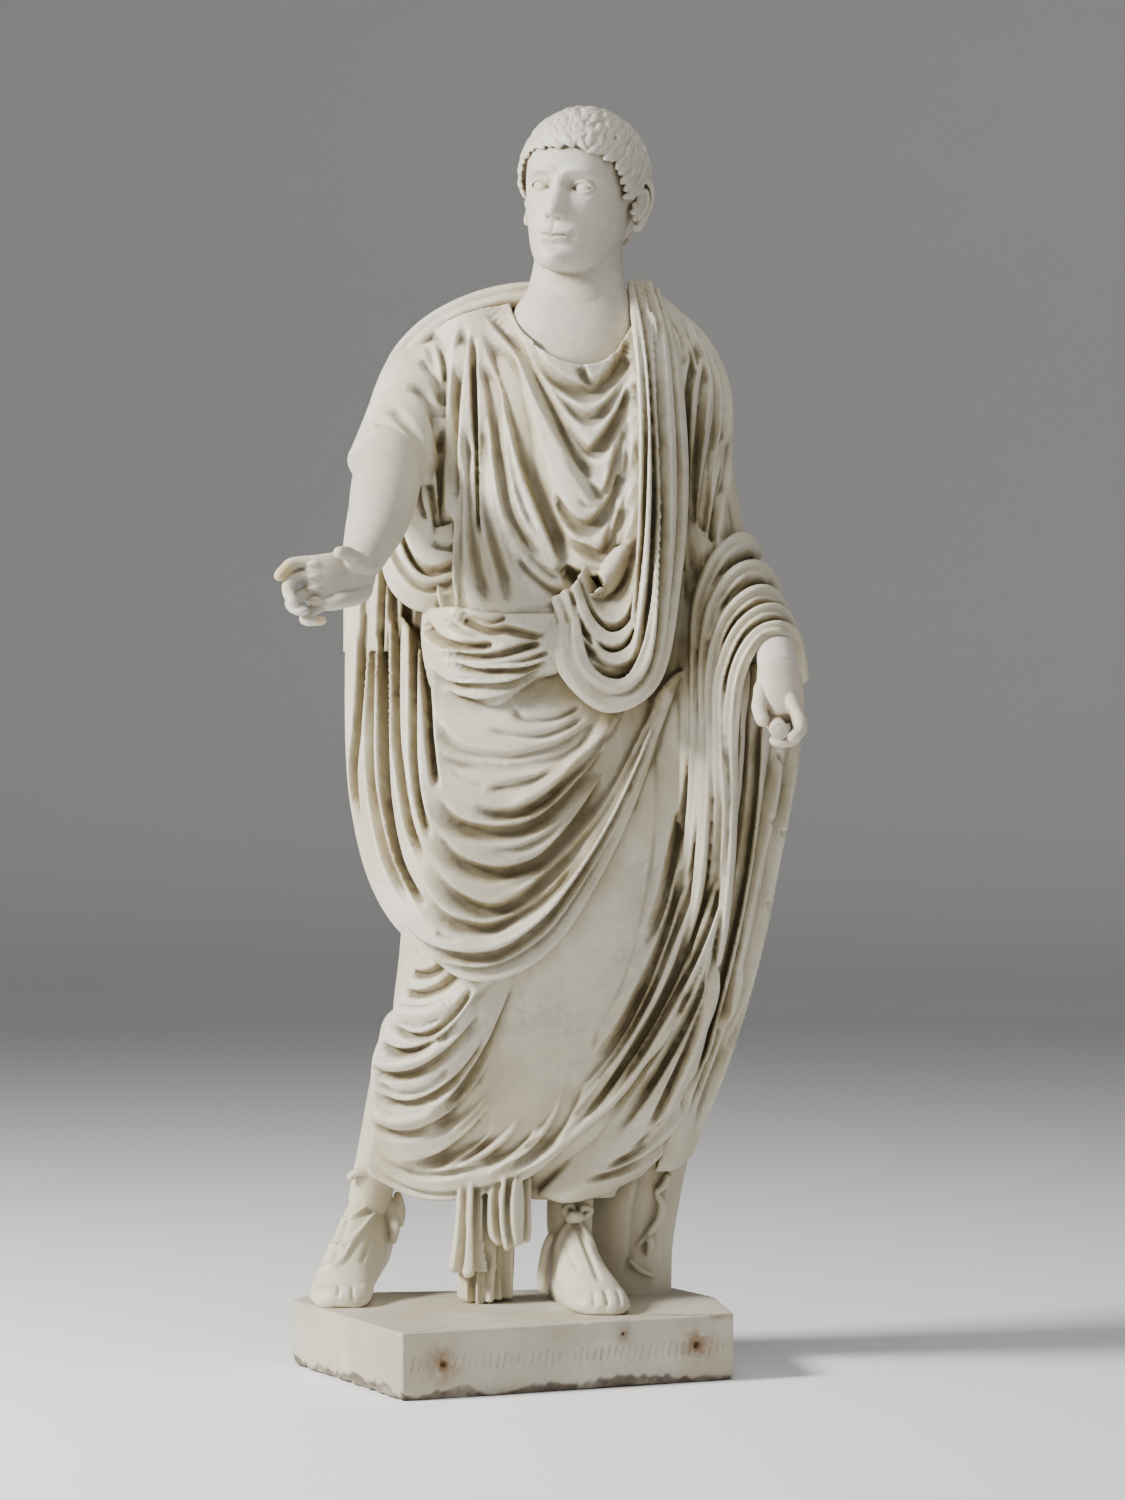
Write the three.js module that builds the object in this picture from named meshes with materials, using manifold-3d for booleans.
// A togate figure in white marble on an irregular plinth, with an inserted head, an inserted right
// forearm and an inserted left hand holding a scroll. Millimetres, +Z up.
//
// The part's frame is the plinth's: X along its front edge, -Y out of its front, Z = 0 on its underside.
// The figure is laid out in a frame of its own, turned on the plinth: X to the figure's left hand,
// -Y the way it faces, and Z = 0 on top of the plinth.
import * as THREE from "three";
import { mergeVertices } from "three/addons/utils/BufferGeometryUtils.js";
import Module from "manifold-3d";

const wasm = await Module();
wasm.setup();

// Driving dimensions.
const plinthHeight = 108;
const figureTurn = THREE.MathUtils.degToRad(-24.5); // the figure against the plinth's front
const jointGap = 0.3; // between pieces that touch
const foldDepth = 1; // scales every fold's height

// The plinth's outline, from its square front left corner round to the right.
const plinthOutline = [
  [-300, -249],
  [289, -242],
  [361, -25],
  [356, 131],
  [-227, 302],
  [-299, 235],
];

const { lerp, smoothstep } = THREE.MathUtils;
const vec = (p) => new THREE.Vector3(...p);

// A smooth curve through the points, read at t from 0 to 1 in equal steps between the points.
function smoothCurve(points) {
  const list = points.map(vec);
  return list.length === 2
    ? new THREE.LineCurve3(list[0], list[1])
    : new THREE.CatmullRomCurve3(list, false, "catmullrom", 0.5);
}

// A list of numbers read smoothly at t, as one dimension changes along a piece.
function along(numbers, t) {
  if (numbers.length === 1) return numbers[0];
  return smoothCurve(numbers.map((n) => [n, 0, 0])).getPoint(t).x;
}

// A grid of rings closed at both ends. point(ring, step) gives each vertex.
function closedRings(rings, steps, point) {
  const positions = [];
  for (let i = 0; i < rings; i++)
    for (let j = 0; j < steps; j++) positions.push(...point(i, j).toArray());
  const faces = [];
  const at = (i, j) => i * steps + (j % steps);
  for (let i = 0; i + 1 < rings; i++)
    for (let j = 0; j < steps; j++) {
      faces.push(at(i, j), at(i, j + 1), at(i + 1, j + 1));
      faces.push(at(i, j), at(i + 1, j + 1), at(i + 1, j));
    }
  for (const [i, flip] of [[0, true], [rings - 1, false]]) {
    const middle = new THREE.Vector3();
    for (let j = 0; j < steps; j++) middle.add(point(i, j));
    positions.push(...middle.divideScalar(steps).toArray());
    const centre = positions.length / 3 - 1;
    for (let j = 0; j < steps; j++) {
      if (flip) faces.push(centre, at(i, j + 1), at(i, j));
      else faces.push(centre, at(i, j), at(i, j + 1));
    }
  }
  return geometryFrom(positions, faces);
}

function geometryFrom(positions, faces) {
  const geometry = new THREE.BufferGeometry();
  geometry.setAttribute("position", new THREE.Float32BufferAttribute(positions, 3));
  geometry.setIndex(faces);
  return geometry;
}

// A solid from a closed geometry, turned right side out.
function solidOf(geometry) {
  const bare = geometry.clone();
  bare.deleteAttribute("normal");
  bare.deleteAttribute("uv");
  const merged = mergeVertices(bare, 1e-3);
  const corners = merged.attributes.position;
  const faces = Array.from(merged.index.array);
  const [a, b, c] = [new THREE.Vector3(), new THREE.Vector3(), new THREE.Vector3()];
  let volume = 0;
  for (let i = 0; i < faces.length; i += 3) {
    a.fromBufferAttribute(corners, faces[i]);
    b.fromBufferAttribute(corners, faces[i + 1]);
    c.fromBufferAttribute(corners, faces[i + 2]);
    volume += a.dot(b.cross(c));
  }
  if (volume < 0) faces.reverse();
  return new wasm.Manifold(
    new wasm.Mesh({
      numProp: 3,
      vertProperties: new Float32Array(corners.array),
      triVerts: new Uint32Array(faces),
    }),
  );
}

const joined = (geometries) => geometries.map(solidOf).reduce((sum, solid) => sum.add(solid));

// A rounded limb along a path: each section is an ellipse across the path, a wide and b deep,
// with its wide way turned towards `wide`. The ends are rounded off over `cap` of the length.
function limb({ path, a, b = a, wide = [1, 0, 0], grow = 0, rings = 9, steps = 14, cap = 0.12 }) {
  const curve = smoothCurve(path);
  const across = vec(wide);
  return closedRings(rings, steps, (i, j) => {
    const t = i / (rings - 1);
    const angle = (j / steps) * 2 * Math.PI;
    const tangent = curve.getTangent(t);
    const side = across.clone().addScaledVector(tangent, -across.dot(tangent)).normalize();
    const depth = new THREE.Vector3().crossVectors(tangent, side);
    const end = Math.min(t, 1 - t) / cap;
    const taper = cap > 0 && end < 1 ? Math.sqrt(Math.max(0.04, 1 - (1 - end) ** 2)) : 1;
    return curve
      .getPoint(t)
      .addScaledVector(side, Math.cos(angle) * (along(a, t) * taper + grow))
      .addScaledVector(depth, Math.sin(angle) * (along(b, t) * taper + grow));
  });
}

// An upright mass: an ellipse at each height, from the lowest up. Rows are [z, x, y, a, b].
function mass(rows, steps = 20) {
  return closedRings(rows.length, steps, (i, j) => {
    const [z, x, y, a, b] = rows[i];
    const angle = (j / steps) * 2 * Math.PI;
    return new THREE.Vector3(x + a * Math.cos(angle), y + b * Math.sin(angle), z);
  });
}

// How high the folds stand at (u, v). Each fold follows v = at from one end of its cloth to the
// other, as a ridge of the given height and half width; at may be a pair, for a fold that drifts
// across the cloth, and a fold with from and to fades out at each.
function foldHeight(folds, u, v) {
  const fade = 0.12;
  let sum = 0;
  for (const { at, from = -fade, to = 1 + fade, high, wide } of folds) {
    const centre = Array.isArray(at) ? lerp(at[0], at[1], u) : at;
    const ridge = high * Math.exp(-((Math.abs(v - centre) / wide) ** 1.6));
    sum += ridge * smoothstep(u, from, from + fade) * (1 - smoothstep(u, to - fade, to));
  }
  return sum;
}

// A stretch of carved cloth. Each guide is a line along the folds, as [x, z] stations with depths
// (y) spread evenly along it; guides run across the folds, v = 0 to 1. The front is the cloth with
// its folds, and the back is that front moved `into` the figure and drawn in, so it closes.
function cloth({ guides, folds = [], nu = 14, nv = 12, into = 70, facing = 1, shrink = 0.9 }) {
  const lines = guides.map(({ run, depth }) =>
    smoothCurve(
      run.map(([x, z], i) => [x, along(depth, i / (run.length - 1)), z]),
    ),
  );
  const base = (u, v) => {
    const across = smoothCurve(lines.map((line) => line.getPoint(u).toArray()));
    return across.getPoint(v);
  };
  const step = 1e-2;
  const front = (u, v) => {
    const p = base(u, v);
    const du = base(Math.min(u + step, 1), v).sub(base(Math.max(u - step, 0), v));
    const dv = base(u, Math.min(v + step, 1)).sub(base(u, Math.max(v - step, 0)));
    const normal = new THREE.Vector3().crossVectors(du, dv).normalize();
    if (normal.y * facing > 0) normal.negate();
    return p.addScaledVector(normal, foldDepth * foldHeight(folds, u, v));
  };
  const grid = [];
  const middle = new THREE.Vector3();
  for (let i = 0; i <= nu; i++)
    for (let j = 0; j <= nv; j++) {
      const p = front(i / nu, j / nv);
      grid.push(p);
      middle.add(p);
    }
  middle.divideScalar(grid.length);
  const count = grid.length;
  const positions = [];
  for (const p of grid) positions.push(...p.toArray());
  for (const p of grid)
    positions.push(
      lerp(middle.x, p.x, shrink),
      p.y + into * facing,
      lerp(middle.z, p.z, shrink),
    );
  const at = (i, j) => i * (nv + 1) + j;
  const faces = [];
  const quad = (p, q, r, s) => faces.push(p, q, r, p, r, s);
  for (let i = 0; i < nu; i++)
    for (let j = 0; j < nv; j++) {
      quad(at(i, j), at(i + 1, j), at(i + 1, j + 1), at(i, j + 1));
      quad(at(i, j + 1) + count, at(i + 1, j + 1) + count, at(i + 1, j) + count, at(i, j) + count);
    }
  for (let i = 0; i < nu; i++) {
    quad(at(i + 1, 0), at(i, 0), at(i, 0) + count, at(i + 1, 0) + count);
    quad(at(i, nv), at(i + 1, nv), at(i + 1, nv) + count, at(i, nv) + count);
  }
  for (let j = 0; j < nv; j++) {
    quad(at(0, j), at(0, j + 1), at(0, j + 1) + count, at(0, j) + count);
    quad(at(nu, j + 1), at(nu, j), at(nu, j) + count, at(nu, j + 1) + count);
  }
  return geometryFrom(positions, faces);
}

// Even folds from v = low to v = high, with a share of their spacing as width.
function row(count, low, high, height, share = 0.38, more = {}) {
  const spacing = (high - low) / Math.max(1, count - 1);
  return Array.from({ length: count }, (_, i) => ({
    at: low + i * spacing,
    high: height,
    wide: spacing * share,
    ...more,
  }));
}

// The body under the cloth, which also closes the figure's middle.
function bodyCore() {
  return mass([
    [170, 20, 120, 150, 60],
    [300, 25, 85, 215, 105],
    [450, 35, 65, 235, 125],
    [600, 60, 50, 245, 140],
    [800, 85, 40, 260, 145],
    [1000, 85, 40, 265, 145],
    [1150, 85, 45, 250, 140],
    [1300, 85, 50, 240, 135],
    [1450, 85, 55, 240, 130],
    [1550, 90, 62, 215, 112],
    [1610, 105, 66, 130, 88],
  ], 12);
}

// The toga's great curve: from the right shoulder down, across the knees and up to the left hip.
function togaCurve() {
  return cloth({
    nu: 12,
    nv: 13,
    into: 110,
    guides: [
      {
        run: [[-135, 1030], [-110, 1000], [-60, 990], [0, 990], [60, 1005], [110, 1020], [160, 1020]],
        depth: [-80, -110, -135, -130, -110],
      },
      {
        run: [[-150, 1080], [-135, 900], [-105, 830], [-30, 795], [50, 815], [120, 890], [175, 985]],
        depth: [-55, -130, -165, -135, -105],
      },
      {
        run: [[-175, 1130], [-165, 900], [-140, 770], [-60, 685], [40, 710], [125, 820], [200, 985]],
        depth: [-20, -115, -185, -135, -95],
      },
      {
        run: [[-230, 1180], [-215, 900], [-180, 730], [-90, 615], [20, 630], [130, 770], [235, 1010]],
        depth: [30, -60, -195, -135, -85],
      },
      {
        run: [[-283, 1190], [-275, 860], [-215, 660], [-80, 548], [50, 583], [165, 760], [262, 1030]],
        depth: [60, 0, -190, -125, -75],
      },
    ],
    folds: [
      ...row(3, 0.12, 0.5, 16, 0.34),
      ...row(3, 0.66, 1, 20, 0.4),
    ],
  });
}

// The lower toga over both legs, down to its hem.
function lowerToga() {
  return cloth({
    nu: 10,
    nv: 13,
    into: 100,
    guides: [
      {
        run: [[-150, 600], [-100, 640], [-40, 700], [20, 780], [80, 860], [140, 930], [190, 1000]],
        depth: [-60, -120, -120, -90, -80],
      },
      {
        run: [[-192, 500], [-140, 485], [-80, 510], [-20, 590], [40, 700], [110, 850], [190, 1000]],
        depth: [-40, -140, -110, -60, -60, -80],
      },
      {
        run: [[-232, 410], [-170, 400], [-90, 440], [-20, 545], [50, 680], [120, 820], [200, 980]],
        depth: [-10, -100, -85, -50, -60, -75],
      },
      {
        run: [[-234, 315], [-170, 305], [-70, 370], [10, 480], [80, 620], [140, 780], [215, 960]],
        depth: [20, -60, -60, -30, -50, -75],
      },
      {
        run: [[-240, 262], [-150, 232], [-40, 290], [50, 400], [120, 540], [170, 720], [230, 950]],
        depth: [50, -20, -45, -50, -75, -80],
      },
      {
        run: [[-248, 235], [-120, 212], [0, 250], [100, 320], [180, 430], [235, 600], [285, 900]],
        depth: [60, -15, -55, -80, -90, -90],
      },
      {
        run: [[-236, 200], [-130, 166], [0, 195], [110, 275], [210, 385], [290, 560], [340, 850]],
        depth: [70, 0, -50, -80, -95, -100],
      },
    ],
    folds: [
      { at: 0.17, to: 0.35, high: 12, wide: 0.03 },
      { at: 0.33, to: 0.6, high: 14, wide: 0.035 },
      { at: [0.45, 0.4], from: 0.2, to: 0.9, high: 18, wide: 0.03 },
      { at: [0.52, 0.5], to: 0.95, high: 20, wide: 0.03 },
      { at: [0.64, 0.6], from: 0.05, to: 0.9, high: 20, wide: 0.03 },
      { at: 0.84, high: 16, wide: 0.03 },
      { at: 0.97, high: 16, wide: 0.035 },
    ],
  });
}

// The folds across the chest, hung in nested curves from one shoulder to the other.
function chestFolds() {
  return cloth({
    nu: 9,
    nv: 11,
    into: 80,
    guides: [
      {
        run: [[-5, 1655], [15, 1605], [60, 1562], [110, 1545], [155, 1555], [190, 1600], [205, 1660]],
        depth: [20, -80, -90, -45, 10],
      },
      {
        run: [[-30, 1650], [30, 1530], [80, 1475], [115, 1452], [160, 1470], [195, 1540], [210, 1640]],
        depth: [10, -90, -110, -80, -5],
      },
      {
        run: [[-50, 1645], [10, 1500], [80, 1410], [140, 1338], [170, 1370], [200, 1500], [212, 1630]],
        depth: [5, -90, -120, -100, -15],
      },
      {
        run: [[-62, 1640], [-15, 1470], [50, 1330], [110, 1235], [160, 1240], [200, 1400], [215, 1600]],
        depth: [0, -85, -122, -115, -40],
      },
      {
        run: [[-80, 1635], [-50, 1450], [-10, 1290], [60, 1180], [130, 1160], [190, 1260], [215, 1500]],
        depth: [0, -85, -125, -130, -80],
      },
      {
        run: [
          [-105, 1625],
          [-95, 1450],
          [-80, 1280],
          [-40, 1160],
          [60, 1130],
          [150, 1120],
          [200, 1200],
        ],
        depth: [10, -65, -110, -140, -120],
      },
      {
        run: [
          [-130, 1610],
          [-125, 1450],
          [-120, 1280],
          [-110, 1150],
          [0, 1125],
          [100, 1110],
          [180, 1120],
        ],
        depth: [25, -20, -75, -135, -130],
      },
    ],
    folds: row(5, 0.08, 0.95, 14, 0.34),
  });
}

// The roll of cloth across the waist.
function waistRoll() {
  return cloth({
    nu: 5,
    nv: 7,
    into: 60,
    guides: [
      {
        run: [[-150, 1150], [-90, 1150], [-20, 1140], [50, 1140], [100, 1145]],
        depth: [-60, -125, -145, -150, -145],
      },
      {
        run: [[-150, 1090], [-90, 1085], [-20, 1080], [50, 1095], [100, 1105]],
        depth: [-75, -145, -165, -168, -160],
      },
      {
        run: [[-140, 1030], [-90, 1030], [-20, 1030], [50, 1055], [100, 1075]],
        depth: [-75, -145, -165, -168, -160],
      },
      {
        run: [[-130, 985], [-90, 985], [-20, 985], [50, 1020], [100, 1050]],
        depth: [-60, -120, -140, -145, -145],
      },
    ],
    folds: row(3, 0.1, 0.9, 12, 0.36),
  });
}

// The loop of cloth pulled out at the waist, and the folds that carry it up to the left shoulder.
function shoulderLoop() {
  return cloth({
    nu: 12,
    nv: 7,
    into: 72,
    guides: [
      {
        run: [
          [130, 1150],
          [150, 1105],
          [172, 1090],
          [190, 1110],
          [200, 1200],
          [205, 1350],
          [205, 1500],
          [205, 1640],
        ],
        depth: [-150, -160, -165, -150, -135, -120, -90, -20],
      },
      {
        run: [
          [112, 1155],
          [135, 1070],
          [170, 1045],
          [200, 1070],
          [222, 1200],
          [228, 1350],
          [228, 1500],
          [215, 1660],
        ],
        depth: [-160, -185, -190, -175, -150, -130, -95, -10],
      },
      {
        run: [
          [90, 1155],
          [105, 1055],
          [165, 1008],
          [225, 1050],
          [248, 1200],
          [255, 1350],
          [250, 1500],
          [225, 1675],
        ],
        depth: [-160, -195, -200, -185, -150, -125, -85, 5],
      },
      {
        run: [
          [60, 1145],
          [75, 1040],
          [155, 975],
          [245, 1025],
          [282, 1200],
          [292, 1350],
          [282, 1500],
          [240, 1665],
        ],
        depth: [-145, -180, -190, -165, -125, -95, -60, 20],
      },
    ],
    folds: row(3, 0.14, 0.9, 14, 0.36),
  });
}

// The cloth down the left upper arm.
function leftArmFolds() {
  return cloth({
    nu: 6,
    nv: 7,
    into: 60,
    shrink: 0.8,
    guides: [
      {
        run: [[232, 1655], [268, 1500], [285, 1350], [292, 1200], [295, 1060]],
        depth: [20, -45, -60, -85, -110],
      },
      {
        run: [[262, 1640], [300, 1520], [312, 1350], [320, 1230], [325, 1100]],
        depth: [25, -25, -30, -65, -125],
      },
      {
        run: [[300, 1615], [335, 1520], [345, 1350], [355, 1240], [370, 1130]],
        depth: [45, 5, -5, -40, -115],
      },
      {
        run: [[330, 1575], [358, 1480], [370, 1330], [390, 1230], [425, 1150]],
        depth: [85, 75, 65, 50, 0],
      },
    ],
    folds: row(3, 0.12, 0.85, 12, 0.3),
  });
}

// The cloth wound over the left elbow and forearm.
function forearmWraps() {
  return cloth({
    nu: 5,
    nv: 7,
    into: 55,
    guides: [
      {
        run: [[388, 1258], [360, 1235], [335, 1195], [312, 1130], [300, 1060]],
        depth: [60, 10, -20, -45, -65],
      },
      {
        run: [[412, 1195], [385, 1195], [350, 1165], [325, 1100], [312, 1020]],
        depth: [60, -20, -60, -80, -90],
      },
      {
        run: [[432, 1145], [400, 1150], [365, 1125], [340, 1060], [325, 980]],
        depth: [50, -60, -105, -120, -125],
      },
      {
        run: [[450, 1100], [415, 1115], [380, 1090], [358, 1040], [345, 960]],
        depth: [30, -100, -140, -150, -150],
      },
      {
        run: [[468, 1075], [440, 1105], [405, 1095], [388, 1050], [380, 960]],
        depth: [0, -125, -160, -165, -160],
      },
    ],
    folds: row(3, 0.1, 0.96, 11, 0.34),
  });
}

// The cloth that falls from the left forearm: its inner folds across the leg, and its outer edge.
function leftFall() {
  const inner = cloth({
    nu: 9,
    nv: 8,
    into: 90,
    guides: [
      {
        run: [[262, 1120], [272, 900], [262, 700], [228, 480], [160, 330], [85, 215], [40, 155]],
        depth: [-90, -95, -85, -60, -25, 0, 20],
      },
      {
        run: [[315, 1120], [325, 900], [312, 700], [275, 480], [215, 330], [150, 215], [85, 152]],
        depth: [-150, -130, -105, -70, -35, -5, 10],
      },
      {
        run: [[360, 1100], [365, 900], [345, 720], [315, 500], [265, 340], [200, 225], [130, 165]],
        depth: [-165, -145, -115, -70, -30, 10, 30],
      },
      {
        run: [[392, 1075], [385, 900], [368, 760], [338, 560], [298, 370], [245, 240], [170, 165]],
        depth: [-150, -130, -100, -50, 0, 40, 60],
      },
    ],
    folds: row(4, 0.1, 0.95, 15, 0.34),
  });
  const outer = cloth({
    nu: 8,
    nv: 6,
    into: 60,
    guides: [
      {
        run: [[345, 1060], [355, 900], [350, 760], [325, 600], [300, 450], [272, 330], [240, 215]],
        depth: [-70, -70, -60, -30, 0, 40, 70],
      },
      {
        run: [[410, 1060], [415, 900], [405, 760], [383, 600], [348, 450], [308, 330], [272, 215]],
        depth: [-100, -95, -75, -40, 0, 50, 90],
      },
      {
        run: [[470, 1075], [482, 935], [462, 800], [434, 665], [402, 515], [362, 380], [308, 240]],
        depth: [20, 0, 10, 40, 70, 100, 130],
      },
    ],
    folds: row(3, 0.14, 0.95, 12, 0.34),
  });
  return [inner, outer];
}

// The cloth that falls from the right shoulder behind the arm, and the tunic's loop under the arm.
function rightFall() {
  const behind = cloth({
    nu: 7,
    nv: 6,
    into: 60,
    guides: [
      {
        run: [[-238, 1440], [-265, 1300], [-284, 1120], [-280, 900], [-255, 760]],
        depth: [70, 60, 50, 40, 40],
      },
      {
        run: [[-222, 1440], [-228, 1300], [-240, 1120], [-238, 900], [-215, 760]],
        depth: [20, 5, -5, -15, -20],
      },
      {
        run: [[-185, 1440], [-180, 1300], [-190, 1120], [-190, 900], [-170, 760]],
        depth: [0, -20, -30, -45, -60],
      },
      {
        run: [[-130, 1440], [-130, 1300], [-130, 1120], [-130, 900], [-130, 760]],
        depth: [10, 0, -10, -40, -70],
      },
    ],
    folds: row(3, 0.2, 0.9, 16, 0.3),
  });
  const loop = cloth({
    nu: 4,
    nv: 5,
    into: 50,
    guides: [
      { run: [[-225, 1310], [-208, 1200], [-165, 1155], [-115, 1150]], depth: [-40, -60, -75, -75] },
      { run: [[-205, 1340], [-170, 1225], [-140, 1195], [-105, 1210]], depth: [-55, -80, -90, -80] },
      { run: [[-185, 1380], [-150, 1300], [-120, 1280], [-90, 1290]], depth: [-60, -75, -85, -75] },
    ],
    folds: row(2, 0.15, 0.7, 10, 0.3),
  });
  return [behind, loop];
}

// The back of the figure, plainer than the front.
function backFolds() {
  return cloth({
    nu: 8,
    nv: 12,
    into: 110,
    facing: -1,
    guides: [
      {
        run: [
          [-150, 1620],
          [-235, 1450],
          [-270, 1200],
          [-268, 950],
          [-212, 700],
          [-160, 545],
          [-210, 400],
          [-232, 215],
        ],
        depth: [75, 65, 70, 70, 40, 10, 40, 90],
      },
      {
        run: [
          [-70, 1668],
          [-130, 1450],
          [-160, 1200],
          [-155, 950],
          [-140, 700],
          [-135, 545],
          [-130, 400],
          [-140, 205],
        ],
        depth: [95, 150, 170, 170, 165, 165, 175, 205],
      },
      {
        run: [[100, 1680], [90, 1450], [75, 1200], [60, 950], [50, 700], [45, 545], [35, 400], [20, 195]],
        depth: [110, 170, 190, 195, 200, 205, 215, 235],
      },
      {
        run: [
          [220, 1668],
          [255, 1450],
          [285, 1200],
          [310, 950],
          [290, 700],
          [255, 545],
          [210, 400],
          [170, 205],
        ],
        depth: [90, 145, 165, 170, 180, 190, 210, 245],
      },
      {
        run: [
          [310, 1620],
          [362, 1450],
          [385, 1210],
          [472, 950],
          [440, 700],
          [408, 545],
          [365, 400],
          [296, 225],
        ],
        depth: [75, 70, 70, 40, 55, 75, 120, 190],
      },
    ],
    folds: row(4, 0.1, 0.9, 16, 0.3),
  });
}

// The rolled edge of the toga over the right shoulder and down behind the arm.
function shoulderRoll() {
  return limb({
    path: [
      [80, 100, 1674],
      [-40, 82, 1668],
      [-125, 62, 1634],
      [-190, 50, 1566],
      [-224, 45, 1460],
      [-248, 42, 1340],
      [-268, 45, 1180],
    ],
    a: [20, 26, 26, 22, 20, 20, 24],
    rings: 10,
    steps: 6,
  });
}

// The right shoulder and its short sleeve, open at the hem where the forearm is let in.
function rightSleeve() {
  return limb({
    path: [[40, 75, 1580], [-70, 62, 1572], [-135, 42, 1530], [-172, 5, 1458], [-197, -38, 1385]],
    a: [70, 86, 86, 78, 78],
    b: [80, 90, 88, 78, 74],
    wide: [0.6, 0, 0.8],
    rings: 7,
    steps: 12,
    cap: 0.04,
  });
}

function leftShoulder() {
  return limb({
    path: [
      [150, 75, 1605],
      [230, 75, 1580],
      [290, 65, 1505],
      [306, 60, 1380],
      [330, 50, 1270],
      [355, 0, 1190],
      [400, -80, 1120],
      [425, -135, 1090],
    ],
    a: [70, 80, 74, 64, 58, 52, 46, 38],
    wide: [0.7, 0, 0.7],
    rings: 9,
    steps: 10,
    cap: 0.05,
  });
}

// A foot in a soft shoe, from toe to heel. Stations are [x, y, half width, low, high].
function foot(stations) {
  const steps = 10;
  return closedRings(stations.length, steps, (i, j) => {
    const [x, y, half, low, high] = stations[i];
    const angle = (j / steps) * 2 * Math.PI;
    const middle = lerp(low, high, 0.3);
    const up = Math.sin(angle);
    return new THREE.Vector3(
      x + half * Math.cos(angle),
      y,
      up > 0 ? lerp(middle, high, up) : lerp(middle, low, Math.min(1, -1.6 * up)),
    );
  });
}

function legsAndFeet() {
  const rightFoot = foot([
    [-281, -28, 14, 4, 20],
    [-281, -20, 34, 0, 30],
    [-281, 0, 46, 0, 38],
    [-283, 45, 52, 0, 58],
    [-277, 95, 48, 6, 92],
    [-263, 145, 43, 24, 138],
    [-247, 190, 40, 44, 175],
    [-238, 225, 34, 55, 150],
    [-234, 248, 16, 66, 120],
  ]);
  const rightShin = limb({
    path: [[-250, 195, 110], [-235, 180, 190], [-200, 120, 310], [-140, 10, 480]],
    a: [34, 40, 55, 70],
    rings: 4,
    steps: 10,
  });
  const leftFoot = foot([
    [152, -118, 16, 2, 18],
    [150, -108, 36, 0, 30],
    [145, -85, 48, 0, 40],
    [134, -40, 52, 0, 58],
    [120, 10, 46, 0, 86],
    [107, 60, 42, 0, 122],
    [97, 105, 40, 0, 150],
    [92, 145, 36, 0, 120],
    [90, 172, 18, 4, 70],
  ]);
  const leftShin = limb({
    path: [[95, 115, 70], [98, 108, 180], [115, 70, 330], [130, 40, 500]],
    a: [36, 42, 60, 75],
    rings: 4,
    steps: 10,
  });
  return [rightFoot, rightShin, leftFoot, leftShin];
}

// The tree stump that props the left leg.
function stump() {
  return limb({
    path: [[186, 205, 0], [190, 203, 80], [202, 200, 160], [226, 190, 290]],
    a: [82, 80, 80, 82],
    b: [48, 46, 48, 60],
    rings: 5,
    steps: 12,
    cap: 0.01,
  });
}

// The tail of cloth that hangs between the feet.
function hangingTail() {
  return cloth({
    nu: 3,
    nv: 9,
    into: 75,
    shrink: 1,
    guides: [
      { run: [[-92, 215], [-96, 120], [-106, 60], [-90, 14]], depth: [45, 45, 42, 46] },
      { run: [[-50, 215], [-48, 120], [-50, 60], [-46, 14]], depth: [20, 18, 15, 18] },
      { run: [[-10, 215], [-12, 120], [-12, 60], [-4, 14]], depth: [30, 28, 30, 34] },
      { run: [[36, 215], [34, 120], [8, 60], [4, 14]], depth: [40, 42, 60, 60] },
    ],
    folds: row(3, 0.14, 0.9, 14, 0.34),
  });
}

// The head and neck are turned and tilted as one. The head's own frame has its origin between the ears.
const headScale = 1.15; // against life
const headPlace = new THREE.Matrix4()
  .makeTranslation(114, 15, 1821)
  .multiply(new THREE.Matrix4().makeRotationZ(THREE.MathUtils.degToRad(-20)))
  .multiply(new THREE.Matrix4().makeRotationY(THREE.MathUtils.degToRad(5)))
  .multiply(new THREE.Matrix4().makeScale(headScale, headScale, headScale));

function head(grow) {
  const skull = mass([
    [-102, 0, -48, 20, 30],
    [-92, 0, -46, 38, 46],
    [-72, 0, -32, 55, 66],
    [-45, 0, -16, 68, 84],
    [-12, 0, -4, 75, 99],
    [25, 0, 4, 79, 106],
    [60, 0, 8, 79, 107],
    [95, 0, 10, 68, 92],
    [118, 0, 12, 44, 60],
    [128, 0, 12, 16, 22],
  ], 16);
  const hair = mass([
    [-52, 0, 52, 48, 44],
    [-20, 0, 38, 74, 72],
    [18, 0, 22, 85, 92],
    [55, 0, 8, 88, 113],
    [92, 0, 10, 77, 100],
    [118, 0, 12, 54, 70],
    [132, 0, 12, 22, 30],
  ], 16);
  const nose = limb({
    path: [[0, -101, 34], [0, -116, 8], [0, -124, -12], [0, -104, -22]],
    a: [8, 11, 16, 12],
    b: [8, 10, 11, 8],
    rings: 5,
    steps: 6,
  });
  const chin = limb({
    path: [[-18, -82, -86], [0, -88, -88], [18, -82, -86]],
    a: [15, 19, 15],
    rings: 4,
    steps: 6,
  });
  const ears = [-1, 1].map((side) =>
    limb({
      path: [[side * 78, 8, -26], [side * 85, 12, -4], [side * 88, 20, 22], [side * 80, 12, 36]],
      a: [6, 9, 9, 5],
      b: [8, 16, 19, 9],
      rings: 5,
      steps: 6,
    }),
  );
  const neck = limb({
    path: [[108, 20, 1560 - grow], [108, 30, 1640], [110, 38, 1720], [114, 40, 1800]],
    a: [70, 78, 74, 72],
    b: [60, 70, 72, 76],
    grow,
    rings: 6,
    steps: 14,
    cap: 0,
  });
  const turned = [skull, hair, nose, chin, ...ears].map((g) => g.applyMatrix4(headPlace));
  return [...turned, neck];
}

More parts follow.
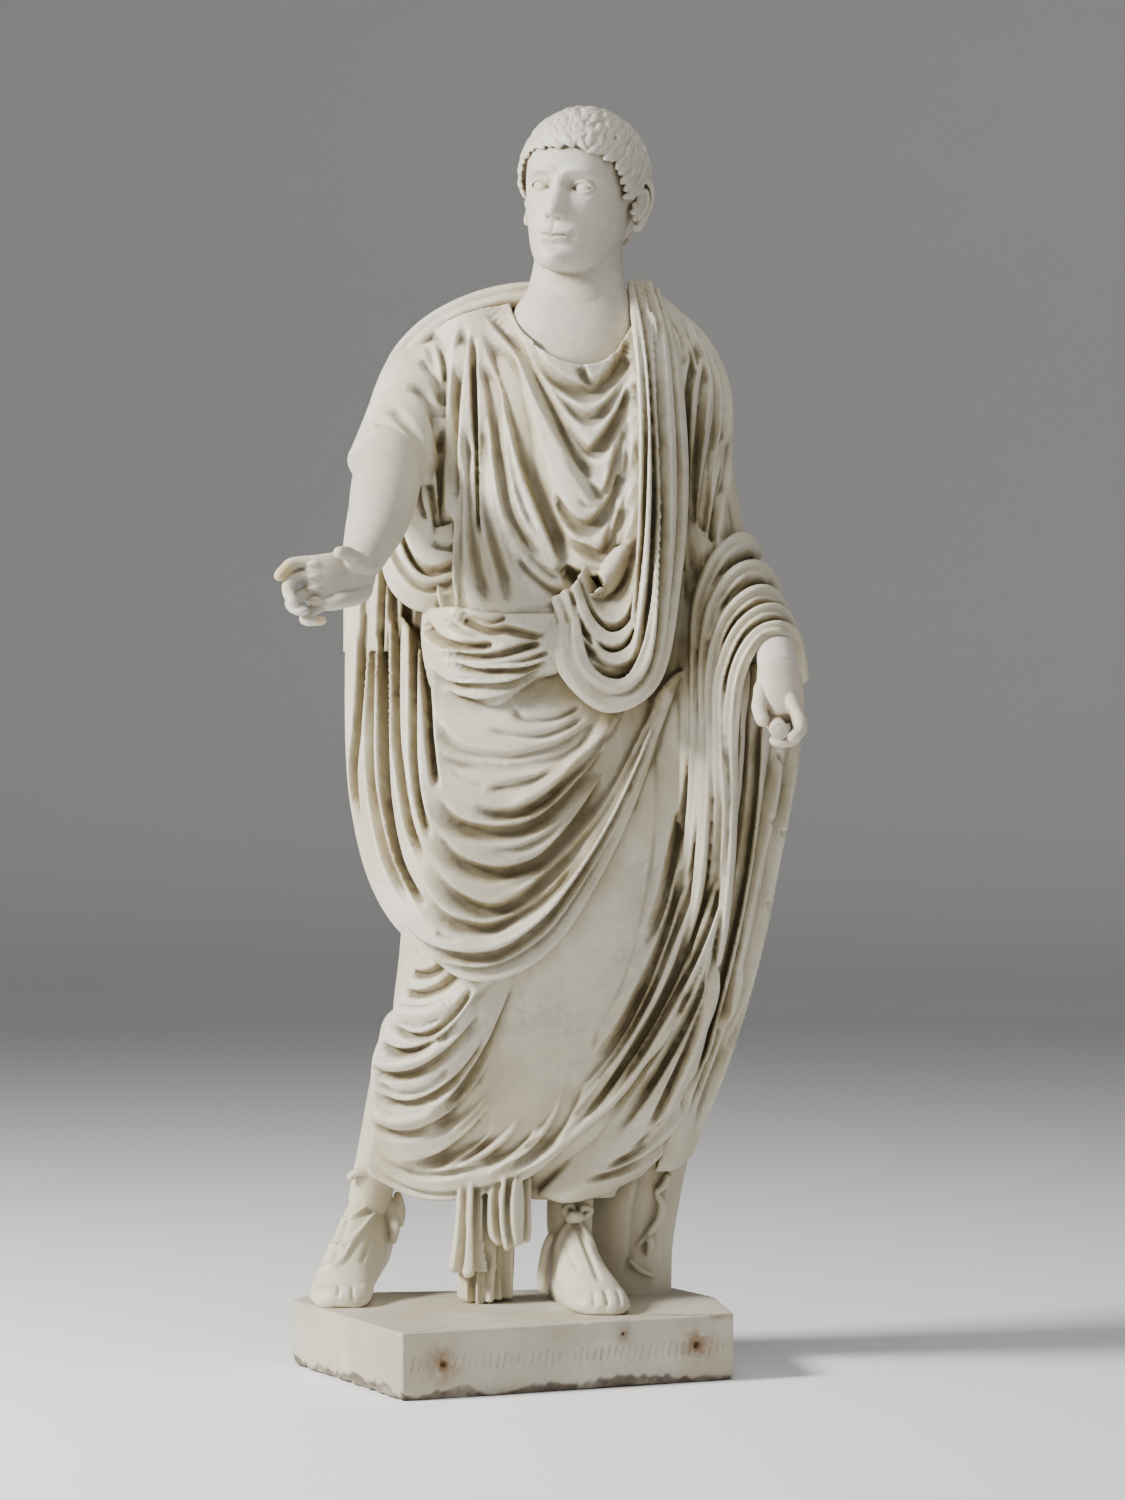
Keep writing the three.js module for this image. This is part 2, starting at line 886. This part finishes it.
function finger(points, radius, grow) {
  const radii = [1, 1.02, 0.9, 0.78].map((share) => radius * share);
  return limb({ path: points, a: radii, grow, rings: 5, steps: 6, cap: 0.14 });
}

// The bare right forearm, from inside the sleeve to the fingertips.
function rightForearm(grow) {
  const arm = limb({
    path: [
      [-193, -10, 1440],
      [-200, -80, 1375],
      [-206, -160, 1320],
      [-213, -240, 1270],
      [-228, -310, 1225],
      [-242, -350, 1200],
    ],
    a: [46, 55, 55, 49, 38, 33],
    b: [48, 57, 56, 48, 36, 30],
    grow,
    rings: 8,
    steps: 12,
    cap: 0.05,
  });
  const palm = limb({
    path: [[-228, -335, 1198], [-268, -372, 1182], [-308, -390, 1178]],
    a: [32, 47, 44],
    b: [24, 20, 15],
    wide: [0.1, -0.15, 1],
    grow,
    rings: 5,
    steps: 10,
    cap: 0.1,
  });
  const fingers = [
    [[[-236, -352, 1208], [-242, -388, 1220], [-256, -415, 1224], [-266, -434, 1222]], 12.5],
    [[[-285, -385, 1210], [-333, -398, 1208], [-352, -411, 1197], [-365, -420, 1180]], 11],
    [[[-288, -388, 1190], [-334, -400, 1182], [-340, -425, 1160], [-327, -440, 1141]], 11],
    [[[-288, -386, 1168], [-334, -398, 1152], [-334, -425, 1137], [-309, -436, 1134]], 10.5],
    [[[-284, -384, 1150], [-316, -396, 1124], [-304, -417, 1119], [-280, -424, 1119]], 9.5],
  ].map(([points, radius]) => finger(points, radius, grow));
  return [arm, palm, ...fingers];
}

// The left hand, from the wrist to the scroll that it grips.
function leftHand(grow) {
  const wrist = limb({
    path: [[424, -100, 1105], [428, -150, 1078], [430, -190, 1040]],
    a: [32, 32, 34],
    grow,
    rings: 5,
    steps: 12,
    cap: 0.06,
  });
  const palm = limb({
    path: [[430, -175, 1052], [433, -208, 1012], [436, -226, 962]],
    a: [34, 42, 38],
    b: [28, 26, 22],
    grow,
    rings: 5,
    steps: 10,
  });
  const thumb = finger(
    [[410, -190, 1030], [402, -222, 1000], [403, -245, 975], [408, -258, 957]],
    12.5,
    grow,
  );
  const index = finger(
    [[440, -212, 1010], [457, -245, 980], [461, -263, 953], [443, -268, 937]],
    12,
    grow,
  );
  const others = [0, 22, 44].map((back) =>
    finger(
      [[446, back - 200, 985], [459, back - 225, 955], [444, back - 234, 936], [419, back - 230, 939]],
      11.5,
      grow,
    ),
  );
  const scroll = limb({
    path: [[419, -130, 974], [429, -280, 948]],
    a: [15, 15],
    grow,
    rings: 2,
    steps: 12,
    cap: 0,
  });
  return [wrist, palm, thumb, index, ...others, scroll];
}

// The plinth, as its plain block. The shallow strokes on its front are carved in Blender.
function plinth() {
  const outline = new THREE.Shape(plinthOutline.map(([x, y]) => new THREE.Vector2(x, y)));
  return joined([new THREE.ExtrudeGeometry(outline, { depth: plinthHeight, bevelEnabled: false })]);
}

// All that is carved from the figure's one block, cut flat where it stands, with the pieces let
// into it drawn back by the joint's gap.
function figure() {
  const carved = joined([
    bodyCore(),
    backFolds(),
    togaCurve(),
    lowerToga(),
    chestFolds(),
    waistRoll(),
    shoulderLoop(),
    leftShoulder(),
    leftArmFolds(),
    forearmWraps(),
    ...leftFall(),
    shoulderRoll(),
    ...rightFall(),
    rightSleeve(),
    ...legsAndFeet(),
    stump(),
    hangingTail(),
  ]);
  const above = new THREE.BoxGeometry(2000, 2000, 3000).translate(0, 0, 1500 + jointGap);
  return [head, rightForearm, leftHand].reduce(
    (sum, piece) => sum.subtract(joined(piece(jointGap))),
    carved.intersect(solidOf(above)),
  );
}

// The largest shell of a mesh: a cut can leave crumbs outside it, and hollows sealed within it.
function largestShell(triangles, corners) {
  const group = Array.from({ length: corners }, (_, i) => i);
  const root = (i) => {
    let at = i;
    while (group[at] !== at) at = group[at];
    group[i] = at;
    return at;
  };
  for (let i = 0; i < triangles.length; i += 3) {
    group[root(triangles[i])] = root(triangles[i + 1]);
    group[root(triangles[i + 1])] = root(triangles[i + 2]);
  }
  const shells = new Map();
  for (let i = 0; i < triangles.length; i += 3) {
    const key = root(triangles[i]);
    if (!shells.has(key)) shells.set(key, []);
    shells.get(key).push(triangles[i], triangles[i + 1], triangles[i + 2]);
  }
  return [...shells.values()].reduce((best, shell) => (shell.length > best.length ? shell : best));
}

function meshOf(name, solid, color) {
  const { vertProperties, triVerts } = solid.getMesh();
  const triangles = largestShell(triVerts, vertProperties.length / 3);
  const geometry = new THREE.BufferGeometry();
  geometry.setAttribute("position", new THREE.BufferAttribute(new Float32Array(vertProperties), 3));
  geometry.setIndex(triangles);
  geometry.computeVertexNormals();
  const marble = new THREE.MeshStandardMaterial({ color, roughness: 0.55, metalness: 0 });
  const mesh = new THREE.Mesh(geometry, marble);
  mesh.name = name;
  return mesh;
}

const onPlinth = new THREE.Group();
onPlinth.position.z = plinthHeight;
onPlinth.rotation.z = figureTurn;
onPlinth.add(
  meshOf("figure", figure(), "#d9d2c2"),
  meshOf("head_and_neck", joined(head(0)), "#e0dbd0"),
  meshOf("right_forearm", joined(rightForearm(0)), "#d8d4cb"),
  meshOf("left_hand_with_scroll", joined(leftHand(0)), "#d6c9b6"),
);

const statue = new THREE.Group();
statue.add(meshOf("plinth", plinth(), "#cdc6b6"), onPlinth);

export default statue;
